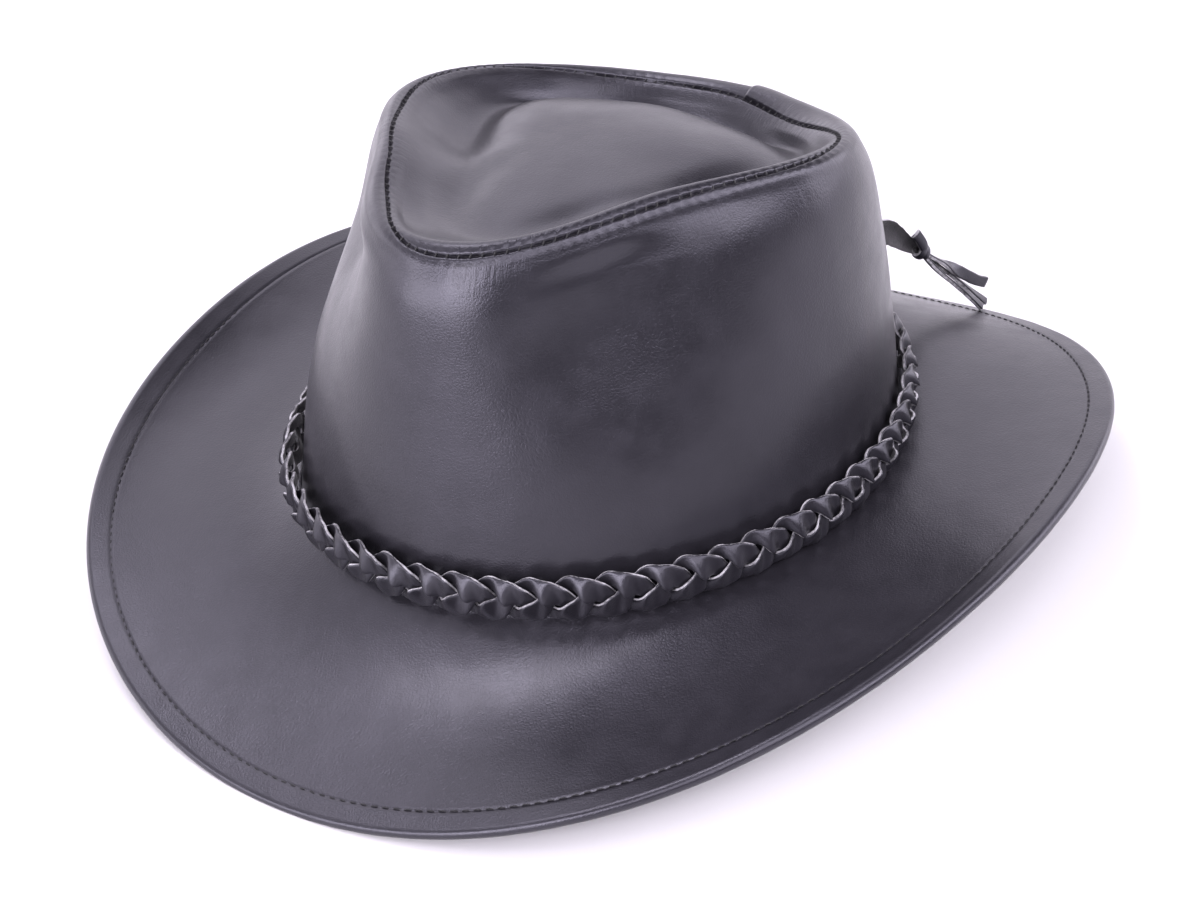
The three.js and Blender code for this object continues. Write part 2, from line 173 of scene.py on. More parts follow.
def bump_round(angle, middle, width):
    """A smooth hump round the hat, with its middle and width in degrees."""
    return bump_at(turned(angle, radians(middle)), 0, radians(width))


def angles_round(count):
    return tau * np.arange(count) / count


def shifts_at(angle, shifts):
    return sum(size * bump_round(angle, middle, width) for middle, width, size in shifts)


def waves_of(values):
    values = np.array(values)
    last = len(values) - 1
    share = np.ones(len(values))
    share[[0, -1]] = 0.5
    turns = np.pi * np.arange(len(values)) / last
    waves = range(len(values))
    heights = np.array([2 * (share * values * np.cos(wave * turns)).sum() / last for wave in waves])
    heights[[0, -1]] /= 2
    return heights


WAVES = {column: waves_of(values) for column, values in SECTIONS.items()}


def around(column, angle):
    turn = angle + pi / 2
    return sum(height * np.cos(wave * turn) for wave, height in enumerate(WAVES[column]))


def sided(column, angle):
    left = np.cos(angle) > 0
    return np.where(left, around(column + "Left", angle), around(column + "Right", angle))


def unit(vectors):
    return vectors / np.maximum(np.linalg.norm(vectors, axis=-1, keepdims=True), 1e-9)


class Ripples:
    """Smooth seeded noise on points, as a sum of a few plane waves."""

    def __init__(self, seed, wavelength, count=24):
        draw = np.random.default_rng(seed)
        directions = unit(draw.normal(size=(count, 3)))
        lengths = wavelength * draw.uniform(0.6, 1.6, (count, 1))
        self.waves = tau * directions / lengths
        self.starts = draw.uniform(0, tau, count)
        self.scale = math.sqrt(2 / count)

    def __call__(self, points):
        return self.scale * np.cos(points @ self.waves.T + self.starts).sum(-1)


def foot_out(angle):
    return around("baseOut", angle) + shifts_at(angle, FOOT_SHIFTS)


def polar(middle, out, angle, height):
    """Points a way out from a middle, at their heights."""
    x, y = middle[0] + out * np.cos(angle), middle[1] + out * np.sin(angle)
    return np.stack([x, y, height], -1)


def brim_face(angle, reach):
    """The brim's upper face. reach is 0 at the crown's foot and 1 at the edge."""
    slope = around("edgeSlope", angle)
    edge_top = around("edgeUp", angle) + EDGE_MIDDLE_DEPTH * np.cos(slope)
    base = polar(BASE_MIDDLE, foot_out(angle), angle, around("baseUp", angle))
    edge = polar((0, 0), around("edgeOut", angle), angle, edge_top)
    width = np.linalg.norm((edge - base)[..., :2], axis=-1)
    share = np.maximum(reach, 0)
    rise = share * share * (3 - 2 * share)
    leave_base = share * (1 - share) ** 2 * np.tan(around("baseSlope", angle)) * width
    meet_edge = share * share * (share - 1) * np.tan(slope) * width
    face = mix(base, edge, reach[..., None])
    face[..., 2] = mix(base[..., 2], edge[..., 2], rise) + leave_base + meet_edge
    return face


def brim_width(angle):
    foot, edge = (brim_face(angle, np.full_like(angle, reach)) for reach in (0, 1))
    return np.linalg.norm(edge - foot, axis=-1)


def crown_rows(angle):
    """The points that the crown's section passes through."""
    foot, foot_up = foot_out(angle), around("baseUp", angle) + PIECE_GAP
    rim = sided("rim", angle)
    rim_up = around("rimUp", angle) + RIM_TILT * (RIM_MIDDLE[0] + rim * np.cos(angle))
    rows = []
    for up, swell in zip(WALL_UP, WALL_SWELL):
        out = mix(foot, rim + SHOULDER_OUT, up**WALL_CURVE) + swell
        rows.append(polar(mix(BASE_MIDDLE, RIM_MIDDLE, up), out, angle, mix(foot_up, rim_up, up)))
    for out, down in zip(RIM_OUT, RIM_DOWN):
        rows.append(polar(RIM_MIDDLE, rim + out, angle, rim_up - down))
    valley_out = rim * around("valleyShare", angle)
    valley = polar(RIM_MIDDLE, valley_out, angle, rim_up - around("valleyDown", angle))
    for inward, rise in zip(DOME_INWARD, DOME_RISE):
        rows.append(mix(valley, DOME_TOP, np.array([inward, inward, rise])))
    return np.stack(rows, -2)


def along_curve(rows, place):
    """Points of the centripetal curve through the rows, as the solids follow it."""
    index = np.clip(np.floor(place).astype(int), 0, LAST_ROW - 1)
    share = np.clip(place - index, 0, 1)[..., None]
    first = 2 * rows[..., :1, :] - rows[..., 1:2, :]
    last = 2 * rows[..., -1:, :] - rows[..., -2:-1, :]
    padded = np.concatenate([first, rows, last], -2)
    steps = [(index + step)[..., None, None] for step in range(4)]
    p0, p1, p2, p3 = (np.take_along_axis(padded, step, -2)[..., 0, :] for step in steps)
    pairs = ((p0, p1), (p1, p2), (p2, p3))
    squares = [((b - a) ** 2).sum(-1, keepdims=True) for a, b in pairs]
    d0, d1, d2 = (np.maximum(square, 1e-12) ** 0.25 for square in squares)
    leave = ((p1 - p0) / d0 - (p2 - p0) / (d0 + d1) + (p2 - p1) / d1) * d1
    meet = ((p2 - p1) / d1 - (p3 - p1) / (d1 + d2) + (p3 - p2) / d2) * d1
    square = 3 * (p2 - p1) - 2 * leave - meet
    cube = 2 * (p1 - p2) + leave + meet
    return p1 + leave * share + square * share**2 + cube * share**3


def wall_dent(angle, height):
    depth = 0
    for middle, width, deep, up, tall in WALL_DENTS:
        depth = depth + deep * bump_round(angle, middle, width) * bump_at(height, up, tall)
    return depth


def crown_face(angle, row):
    """The crown's outer face. row counts the rows of its section."""
    angle, row = np.broadcast_arrays(angle, row)
    points = along_curve(crown_rows(angle), row)
    height = np.minimum(row / SHOULDER_ROW, 1) * WALL_UP[SHOULDER_ROW]
    depth = smooth(SHOULDER_ROW + 1 - row) * wall_dent(angle, height) * (row < SHOULDER_ROW + 1)
    points[..., 0] -= depth * np.cos(angle)
    points[..., 1] -= depth * np.sin(angle)
    return points


def seam_row(angle):
    run = sided("seam", angle) + shifts_at(angle, SEAM_SHIFTS)
    run = np.clip(run, RIM_RUN[0] + SMALL, RIM_RUN[-1] - SMALL)
    return len(WALL_UP) + np.interp(run, RIM_RUN, np.arange(len(RIM_RUN)))


def on_seam(angle):
    return crown_face(angle, seam_row(angle))


def outward_of(points):
    """The way out of a closed grid of rows (first index) and turns (second index)."""
    along = np.gradient(points, axis=0)
    across = np.roll(points, -1, 1) - np.roll(points, 1, 1)
    return unit(np.cross(across, along))


def averaging(distances, spread):
    """Weights that average each place with its neighbours, from how far apart the places are."""
    weights = np.exp(-((distances / spread) ** 2) / 2)
    return weights / weights.sum(1, keepdims=True)


def softened(points, row_spread, turn_spread):
    """The grid with its folds rounded off. The spreads are in rows and in turns."""
    row, turn = (np.arange(count) for count in points.shape[:2])
    apart = np.abs(turn[:, None] - turn)
    apart = np.minimum(apart, len(turn) - apart)
    points = np.einsum("ij,jkc->ikc", averaging(row[:, None] - row, row_spread), points)
    return np.einsum("ij,kjc->kic", averaging(apart, turn_spread), points)


def lengths_down(points):
    """How far each row is from the first one, along the surface."""
    steps = np.linalg.norm(np.diff(points, axis=0), axis=-1)
    return np.concatenate([np.zeros((1, points.shape[1])), np.cumsum(steps, 0)])


def lengths_round(points):
    """How far each point of a closed line is along it, and its whole length."""
    steps = np.linalg.norm(np.roll(points, -1, 0) - points, axis=-1)
    return np.concatenate([[0], np.cumsum(steps)[:-1]]), steps.sum()


def add_mesh(name, points, faces, materials, face_materials=None, uv=None, values=None):
    """A smooth mesh object from points in metres. values are named numbers for each point."""
    mesh = bpy.data.meshes.new(name)
    face_list = faces.tolist() if isinstance(faces, np.ndarray) else faces
    mesh.from_pydata(np.asarray(points, float).reshape(-1, 3).tolist(), [], face_list)
    for material in materials:
        mesh.materials.append(material)
    if face_materials is not None:
        mesh.polygons.foreach_set("material_index", np.asarray(face_materials, np.int32))
    mesh.polygons.foreach_set("use_smooth", np.ones(len(mesh.polygons), bool))
    if uv is not None:
        corners = np.zeros(len(mesh.loops), np.int32)
        mesh.loops.foreach_get("vertex_index", corners)
        layer = mesh.uv_layers.new(name="surface")
        layer.data.foreach_set("uv", np.asarray(uv, np.float32)[corners].ravel())
    for key, numbers in (values or {}).items():
        attribute = mesh.attributes.new(key, "FLOAT", "POINT")
        attribute.data.foreach_set("value", np.asarray(numbers, np.float32))
    mesh.validate()
    mesh.update()
    return add_object(name, mesh)


def grid_faces(rows, turns, closed_rows=False):
    """Faces of a grid that closes round its turns, and over its rows if it is a ring."""
    index = np.arange(rows * turns).reshape(rows, turns)
    low = index if closed_rows else index[:-1]
    high = np.roll(index, -1, 0) if closed_rows else index[1:]
    quads = np.stack([low, np.roll(low, -1, 1), np.roll(high, -1, 1), high], -1)
    return quads.reshape(-1, 4)


def tube_faces(index):
    """Quads of a grid of point numbers that closes over its rows alone."""
    after = np.roll(index, -1, -2)
    corners = [index[..., :-1], after[..., :-1], after[..., 1:], index[..., 1:]]
    return np.stack(corners, -1).reshape(-1, 4).tolist()


def sheet_places(round_it, across):
    """UV places in millimetres: round the hat, and across the leather."""
    return np.stack([np.broadcast_to(round_it, across.shape), across], -1).reshape(-1, 2)


class Nodes:
    """A short way to write a node material."""

    def __init__(self, name):
        self.material = bpy.data.materials.new(name)
        self.material.use_nodes = True
        self.tree = self.material.node_tree
        self.shader = self.tree.nodes["Principled BSDF"]
        coordinates = self.tree.nodes.new("ShaderNodeTexCoord")
        self.place = coordinates.outputs["Object"]
        self.sheet = coordinates.outputs["UV"]

    def fill(self, node, inputs):
        """Links each of a node's inputs to another node's output, or sets it to a constant."""
        for key, value in inputs.items():
            if isinstance(value, bpy.types.NodeSocket):
                self.tree.links.new(value, node.inputs[key])
            else:
                node.inputs[key].default_value = value

    def surface(self, inputs):
        self.fill(self.shader, inputs)
        return self.material

    def add(self, kind, inputs, **settings):
        node = self.tree.nodes.new(kind)
        for key, value in settings.items():
            setattr(node, key, value)
        self.fill(node, inputs)
        return node

    def scaled(self, source, scale):
        return self.add("ShaderNodeMapping", {"Vector": source, "Scale": scale}).outputs["Vector"]

    def noise(self, scale, detail, roughness=0.55, distortion=0.0, vector=None):
        inputs = {"Vector": vector or self.place, "Scale": scale, "Detail": detail}
        inputs |= {"Roughness": roughness, "Distortion": distortion}
        return self.add("ShaderNodeTexNoise", inputs).outputs["Fac"]

    def cells(self, scale, feature="DISTANCE_TO_EDGE", vector=None):
        inputs = {"Vector": vector or self.place, "Scale": scale}
        return self.add("ShaderNodeTexVoronoi", inputs, feature=feature).outputs["Distance"]

    def ramp(self, source, low, high, low_value=0.0, high_value=1.0):
        inputs = {"Value": source, "From Min": low, "From Max": high}
        inputs |= {"To Min": low_value, "To Max": high_value}
        node = self.add("ShaderNodeMapRange", inputs, interpolation_type="SMOOTHSTEP")
        return node.outputs["Result"]

    def math(self, operation, first, second):
        node = self.add("ShaderNodeMath", {0: first, 1: second}, operation=operation)
        return node.outputs["Value"]

    def plus(self, first, second, share):
        return self.math("ADD", first, self.math("MULTIPLY", second, share))

    def attribute(self, name):
        return self.add("ShaderNodeAttribute", {}, attribute_name=name).outputs["Fac"]

    def colours(self, share, first, second):
        inputs = {"A": (*first, 1), "B": (*second, 1), "Factor": share}
        return self.add("ShaderNodeMix", inputs, data_type="RGBA").outputs["Result"]

    def bumps(self, layers):
        """The normal over layers of bumps: each one's height, strength, and depth in metres."""
        after = {}
        for height, strength, depth in layers:
            inputs = {"Strength": strength, "Distance": depth, "Height": height}
            after = {"Normal": self.add("ShaderNodeBump", inputs | after).outputs["Normal"]}
        return after["Normal"]


LEATHER_DARK = (0.008, 0.0075, 0.0095)
LEATHER_WORN = (0.0125, 0.0117, 0.0145)
LEATHER_SHINE = (1.0, 1.0, 1.16, 1.0)
FLESH_DARK = (0.020, 0.019, 0.021)
FLESH_PALE = (0.055, 0.053, 0.057)
RAW_DARK = (0.06, 0.059, 0.062)
RAW_PALE = (0.42, 0.415, 0.43)
THREAD_COLOUR = (0.005, 0.005, 0.006)
THREAD_WORN = (0.022, 0.0215, 0.024)


def leather_material(name, grain_scale=1.0, wrinkles=False):
    """Smooth finished leather: pores, fine grain, faint creases, worn high spots."""
    nodes = Nodes(name)
    broad = nodes.noise(scale=14, detail=3)
    mottle = nodes.noise(scale=90, detail=4)
    worn = nodes.ramp(nodes.plus(broad, mottle, share=0.5), low=0.62, high=1.0)
    grain = nodes.cells(scale=1100 * grain_scale)
    fine = nodes.noise(scale=2300 * grain_scale, detail=3)
    pores = nodes.cells(scale=420 * grain_scale, feature="F1")
    rough = nodes.ramp(mottle, low=0.3, high=0.75, low_value=0.27, high_value=0.35)
    layers = [
        (nodes.noise(scale=60, detail=5, roughness=0.6), 0.18, 0.0012),
        (nodes.ramp(grain, low=0.0, high=0.25), 0.18, 0.00014),
        (fine, 0.2, 0.00012),
        (nodes.ramp(pores, low=0.0, high=0.22), 0.16, 0.0002),
    ]
    if wrinkles:
        long_way = nodes.scaled(nodes.sheet, (1.1, 0.1, 1))
        lines = nodes.noise(1.0, detail=3, roughness=0.5, distortion=0.4, vector=long_way)
        patches = nodes.ramp(nodes.noise(scale=45, detail=2), low=0.4, high=0.62)
        amount = nodes.math("MULTIPLY", patches, nodes.attribute("puckers"))
        layers.append((nodes.math("MULTIPLY", lines, amount), 0.32, 0.0008))
        creased = nodes.cells(scale=900, vector=nodes.scaled(nodes.place, (1, 1, 0.7)))
        folds = nodes.ramp(creased, low=0.0, high=0.3)
        layers.append((nodes.math("MULTIPLY", folds, nodes.attribute("creases")), 0.2, 0.0002))
    return nodes.surface({
        "Base Color": nodes.colours(worn, LEATHER_DARK, LEATHER_WORN),
        "Roughness": nodes.plus(rough, broad, share=0.06),
        "Normal": nodes.bumps(layers),
        "Specular IOR Level": 0.42,
        "Specular Tint": LEATHER_SHINE,
        "Coat Weight": 0.18,
        "Coat Roughness": 0.22,
    })


def flesh_material():
    """The rough side of the leather, short-napped like suede."""
    nodes = Nodes("flesh_side")
    nap = nodes.noise(scale=1500, detail=5, roughness=0.7)
    cloud = nodes.noise(scale=40, detail=4)
    blend = nodes.plus(nodes.math("MULTIPLY", nap, 0.5), cloud, share=0.5)
    shade = nodes.ramp(blend, low=0.35, high=0.65)
    return nodes.surface({
        "Base Color": nodes.colours(shade, FLESH_DARK, FLESH_PALE),
        "Roughness": nodes.ramp(nap, low=0.3, high=0.7, low_value=0.85, high_value=1.0),
        "Normal": nodes.bumps([(nap, 0.5, 0.0004)]),
        "Sheen Weight": 0.25,
        "Sheen Roughness": 0.5,
    })


def raw_edge_material():
    """The cut edge of a lace: pale fibres where the dye did not reach."""
    nodes = Nodes("raw_edge")
    fibres = nodes.noise(scale=900, detail=5, roughness=0.7)
    patches = nodes.noise(scale=160, detail=3)
    blend = nodes.plus(nodes.math("MULTIPLY", fibres, 0.45), patches, share=0.55)
    shade = nodes.ramp(blend, low=0.36, high=0.6)
    return nodes.surface({
        "Base Color": nodes.colours(shade, RAW_DARK, RAW_PALE),
        "Roughness": nodes.ramp(fibres, low=0.3, high=0.7, low_value=0.8, high_value=1.0),
        "Normal": nodes.bumps([(fibres, 0.7, 0.0004)]),
    })


def thread_material():
    """Waxed black thread with a fine twist."""
    nodes = Nodes("thread")
    inputs = {"Vector": nodes.sheet, "Scale": 1.6}
    twist = nodes.add("ShaderNodeTexWave", inputs, bands_direction="DIAGONAL").outputs["Fac"]
    fuzz = nodes.noise(scale=3000, detail=2)
    return nodes.surface({
        "Base Color": nodes.colours(fuzz, THREAD_COLOUR, THREAD_WORN),
        "Roughness": nodes.ramp(fuzz, low=0.3, high=0.7, low_value=0.5, high_value=0.7),
        "Normal": nodes.bumps([(twist, 0.6, 0.0002)]),
    })


CROWN_GRAIN = leather_material("crown_leather", wrinkles=True)
BRIM_GRAIN = leather_material("brim_leather", grain_scale=0.9)
LACE_GRAIN = leather_material("lace_leather", grain_scale=1.3)
FLESH = flesh_material()
RAW_EDGE = raw_edge_material()
THREAD = thread_material()
# Which of a piece's materials a face has: the grain, the rough flesh side or the cut edge.
GRAIN, ROUGH, CUT = range(3)

# The tip's seam lies in a groove that each stitch bridges. Beside it the leather is pulled in, it
# swells between the stitches, and a low welt runs along: how high, how far out and how wide.
STITCH_PITCH = 3.3
GROOVE_DEPTH = 1.1
GROOVE_WIDTH = 0.75 / math.sqrt(1.4)
BRIDGED_SHARE = 0.75
BRIDGE_WIDTH = 0.13
PULL = (0.16, 1.3, 0.9)
PILLOW = (0.05, 2.0, 1.4)
WELT = (0.16, 3.2, 1.6)
# All of this is strongest here, in degrees, and has this share of its strength elsewhere.
NEAR_SEAM = (-35, 55)
FAR_SHARE = 0.3
# Waves along a seam: how high, how fast with each stitch, and from where.
GROOVE_WAVES = [(0.18, 0.73, 0), (0.14, 1.91, 1)]
BEAT_WAVES = [(0.08, 1.3, 0)]

TURNS = 720
ANGLES = angles_round(TURNS)
FINE_TURNS = 2000


def seam_phase(angle):
    """How many stitches the tip's seam has made by each angle."""
    fine = angles_round(FINE_TURNS)
    run, whole = lengths_round(on_seam(fine))
    phase = np.append(run, whole) / whole * round(whole / STITCH_PITCH)
    return np.interp(angle % tau, np.append(fine, tau), phase)


def sines(phase, waves):
    return sum(high * np.sin(phase * rate + start) for high, rate, start in waves)


def ridge(distance, shape):
    high, out, wide = shape
    return high * bump_at(distance, out, wide)


def groove(distance, phase, angle):
    """How far the leather dips below its plain surface, for each distance from the seam."""
    pucker = mix(FAR_SHARE, 1, bump_round(angle, *NEAR_SEAM))
    beat = phase + sines(phase, BEAT_WAVES)
    bridge = bump_at(beat, np.round(beat), BRIDGE_WIDTH)
    uneven = 1 + sines(phase, GROOVE_WAVES)
    depth = GROOVE_DEPTH * uneven * (1 - BRIDGED_SHARE * bridge * pucker)
    dip = depth * bump_at(distance, 0, GROOVE_WIDTH)
    pull = ridge(distance, PULL) * bridge
    pillow = ridge(distance, PILLOW) * np.cos(tau * beat)
    return dip + pucker * (pull + pillow - ridge(distance, WELT))


# The join of the crown's side at the back: a step that fades to one side of it.
LAP_ANGLE = radians(79)
LAP_STEP = 0.9
LAP_FADE = radians(11)
LAP_EDGE = radians(0.5)
# A close pair of turns keeps its step crisp.
LAP_PAIR = radians(0.35)
LAP_FROM_SEAM = 1.5


def lap_rise(angle):
    past = turned(angle, LAP_ANGLE)
    over = np.where(past < 0, bump_at(past, 0, LAP_FADE), 0)
    return LAP_STEP * over * smooth(-past / LAP_EDGE)


WAVER = Ripples(seed=11, wavelength=55)
DIMPLES = Ripples(seed=12, wavelength=17)
BRIM_WAVER = Ripples(seed=13, wavelength=110)
WAVER_HIGH = 0.13
DIMPLES_HIGH = 0.03
BRIM_WAVER_HIGH = 0.22
BRIM_DIMPLES_HIGH = 0.02
PLAIN_BY_SEAM = 6.0
INNER_STEP = 4

WALL_ROWS = 57
ROLL_ROWS = 46
ROLL_CROWDING = 1.5
SIDE_SHEET = 520.0
# Wrinkles beside the seam: where and how fast they grow, where and how fast they fade, strength.
SIDE_PUCKERS = (1.5, 2.0, 7.0, 8.0, 0.9)
TIP_PUCKERS = (1.0, 1.5, 3.0, 4.0, 0.7)
# Patches of fine creases on the wall: middle and width round it, height and tallness, strength.
CREASE_PATCHES = [
    (radians(-68), 0.15, 78, 15, 1.0),
    (radians(-40), 0.3, 100, 14, 0.6),
]


def dressed(points, amount, lift):
    """The surface lifted, and with an amount of the small unevenness of real leather."""
    uneven = WAVER_HIGH * WAVER(points) + DIMPLES_HIGH * DIMPLES(points)
    return points + outward_of(points) * (amount * uneven + lift)[..., None]


def pucker_strength(distance, shape):
    start, grow, end, fade, strength = shape
    return smooth((distance - start) / grow) * (1 - smooth((distance - end) / fade)) * strength


def inner_face(angles, rows):
    """The crown's inside, from the last row to the first, with fewer rows."""
    plain = crown_face(angles[None], rows[::INNER_STEP][::-1])
    return plain - outward_of(plain[::-1])[::-1] * CROWN_LEATHER


def make_crown_side():
    angles = ANGLES.copy()
    near = int(np.argmin(np.abs(angles - LAP_ANGLE)))
    angles[[near - 1, near]] = LAP_ANGLE - LAP_PAIR, LAP_ANGLE
    wall_rows = np.linspace(0, SHOULDER_ROW, WALL_ROWS + 1)[:-1]
    roll_share = 1 - (1 - np.linspace(0, 1, ROLL_ROWS)) ** ROLL_CROWDING
    rows = np.concatenate([
        np.repeat(wall_rows[:, None], TURNS, 1),
        mix(SHOULDER_ROW, seam_row(angles)[None], roll_share[:, None]),
    ])
    plain = crown_face(angles[None], rows)
    down = lengths_down(plain)
    to_seam = down[-1] - down
    lap = lap_rise(angles)[None] * smooth(to_seam / LAP_FROM_SEAM)
    dip = groove(to_seam, seam_phase(angles)[None], angles[None])
    outer = dressed(plain, smooth(to_seam / PLAIN_BY_SEAM), lap - dip)
    inner = inner_face(angles, rows)
    points = np.concatenate([outer, inner])
    points[..., 2] = np.maximum(points[..., 2], around("baseUp", angles) + PIECE_GAP)
    count = len(points)
    kinds = np.where(np.arange(count) < len(outer) - 1, GRAIN, ROUGH)
    across = np.concatenate([to_seam, np.zeros(inner.shape[:2])])
    puckers = pucker_strength(across, SIDE_PUCKERS)
    puckers[len(outer):] = 0
    creases = sum(
        strength * bump_at(turned(angles, middle), 0, width) * bump_at(points[..., 2], up, tall)
        for middle, width, up, tall, strength in CREASE_PATCHES
    )
    faces = grid_faces(count, TURNS, closed_rows=True)
    uv = sheet_places(angles / tau * SIDE_SHEET, across)
    values = {"puckers": puckers.ravel(), "creases": np.clip(creases, 0, 1).ravel()}
    kinds = np.repeat(kinds, TURNS)
    look = [CROWN_GRAIN, FLESH]
    side = add_mesh("crown_side_leather", metres(points), faces, look, kinds, uv, values)
    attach(side, "root")
    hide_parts("crown_side")


SLOPE_ROWS = 49
SLOPE_CROWDING = 1.4
DOME_ROWS = 44
TOP_ROW_GAP = 0.02
TIP_SHEET = 430.0
TIP_MIDDLE_UV = [0, 60]
TIP_GROOVE_SHIFT = 0.25
# Folds are rounded off over this many rows and turns, most at the right front.
FOLD_SOFTNESS = (4.5, 7.5)
FRONT_SOFTNESS = (9.0, 22.0)
SOFT_FRONT = (-130, 50)
SOFT_FROM = 5.0
SOFT_WITHIN = 7.0
SOFT_TOP_ROWS = 0.4
PLAIN_TOP_ROWS = 0.3


def make_crown_tip():
    slope_share = np.linspace(0, 1, SLOPE_ROWS + 1)[:-1] ** SLOPE_CROWDING
    last = LAST_ROW - TOP_ROW_GAP
    dome_rows = mix(CREASE_ROW, last, np.linspace(0, 1, DOME_ROWS))
    rows = np.concatenate([
        mix(seam_row(ANGLES)[None], CREASE_ROW, slope_share[:, None]),
        np.repeat(dome_rows[:, None], TURNS, 1),
    ])
    plain = crown_face(ANGLES[None], rows)
    from_seam = lengths_down(plain)
    soft = smooth((from_seam - SOFT_FROM) / SOFT_WITHIN) * smooth((last - rows) / SOFT_TOP_ROWS)
    front = bump_round(ANGLES, *SOFT_FRONT)[None, :, None]
    rounded = mix(softened(plain, *FOLD_SOFTNESS), softened(plain, *FRONT_SOFTNESS), front)
    plain = mix(plain, rounded, soft[..., None])
    fade = smooth(from_seam / PLAIN_BY_SEAM) * smooth((LAST_ROW - rows) / PLAIN_TOP_ROWS)
    dip = groove(from_seam + TIP_GROOVE_SHIFT, seam_phase(ANGLES)[None], ANGLES[None])
    outer = dressed(plain, fade, -dip)
    inner = inner_face(ANGLES, rows)
    inner[0] = outer[-1] - np.array([0, 0, CROWN_LEATHER])
    grid = np.concatenate([outer, inner])
    first, count = len(outer), len(grid)
    middle = [[*DOME_TOP[:2], row[:, 2].mean()] for row in (outer[-1], inner[0])]
    points = np.concatenate([grid.reshape(-1, 3), middle])
    # Two caps replace the quads between the outer rows and the inner ones.
    row_of = np.repeat(np.arange(count), TURNS)
    quads = grid_faces(count, TURNS, closed_rows=True)[row_of != first - 1]
    kinds = np.where(row_of < first - 1, GRAIN, ROUGH)[row_of != first - 1]
    top = count * TURNS
    index = np.arange(top).reshape(count, TURNS)
    ring, under = index[first - 1].tolist(), index[first].tolist()
    cap = [[a, b, top] for a, b in zip(ring, ring[1:] + ring[:1])]
    cup = [[b, a, top + 1] for a, b in zip(under, under[1:] + under[:1])]
    kinds = np.concatenate([kinds, np.repeat([GRAIN, ROUGH], TURNS)])
    across = np.concatenate([from_seam, np.zeros(inner.shape[:2])])
    uv = sheet_places(np.linspace(0, TIP_SHEET, TURNS), across)
    puckers = pucker_strength(across, TIP_PUCKERS)
    puckers[first:] = 0
    puckers = np.append(puckers.ravel(), [0, 0])
    faces = quads.tolist() + cap + cup
    uv = np.concatenate([uv, [TIP_MIDDLE_UV, TIP_MIDDLE_UV]])
    values = {"puckers": puckers, "creases": np.zeros(len(puckers))}
    look = [CROWN_GRAIN, FLESH]
    tip = add_mesh("crown_tip_leather", metres(points), faces, look, kinds, uv, values)
    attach(tip, "root")
    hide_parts("crown_tip")


# The brim's rows, as shares of its width and, at the folded hem, millimetres in from the edge.
BRIM_TURNS = 600
BRIM_START = -0.031
TOP_REACHES = (BRIM_START, *np.linspace(-0.02, 0.82, 40))
UNDER_REACHES = np.linspace(0.8, -0.02, 26)
HEM_TOP_ROWS = [
    10.2, 9.4, 8.8, 8.3, 7.95, 7.75, 7.6, 7.45, 7.25, 6.9, 6.3, 5.6, 4.8, 4.0, 3.2, 2.5, 2.0,
]
HEM_UNDER_ROWS = [2.6, 4.0, 5.6, 7.0, 7.6, 8.2, 9.2, 10.2]
EDGE_ROWS = 12
EDGE_REACH = 1.006
EDGE_RADIUS = 1.75
TYPICAL_WIDTH = 62.0
HEM_STITCH_IN = 7.6
HEM_CUT_IN = 10.9
HEM_CUT_SLANT = 0.1
HEM_CUT_LIFT = 0.55
HEM_RISE = 0.12
HEM_RISE_START = (10.4, 3.4)
HEM_WAVE_START = (9.0, 4.0)
TOP_DENT = (0.2, HEM_STITCH_IN, 0.5)
UNDER_DENT = (0.3, HEM_STITCH_IN, 0.5)
STITCH_TUG = (0.05, HEM_STITCH_IN, 0.8)
HEM_WAVES = [(0.036, 0.37, 0), (0.03, 0.11, 2)]
CUT_WAVES = [(0.25, 0.9, 0), (0.2, 2.3, 0)]
PLAIN_BY_FOOT = 0.2
GUIDE_START = -0.03
GUIDE_ROWS = 60


def upper_side(angles, reach):
    """The way up from the brim, read from a plain grid that the hem does not disturb."""
    plain = np.linspace(GUIDE_START, 1, GUIDE_ROWS)
    guide = outward_of(brim_face(angles[None], np.repeat(plain[:, None], BRIM_TURNS, 1)))
    spot = (reach - GUIDE_START) / (1 - GUIDE_START) * (GUIDE_ROWS - 1)
    spot = np.clip(spot, 0, GUIDE_ROWS - 1.001)
    low = spot.astype(int)
    columns = np.broadcast_to(np.arange(BRIM_TURNS), reach.shape)
    return -unit(mix(guide[low, columns], guide[low + 1, columns], (spot - low)[..., None]))


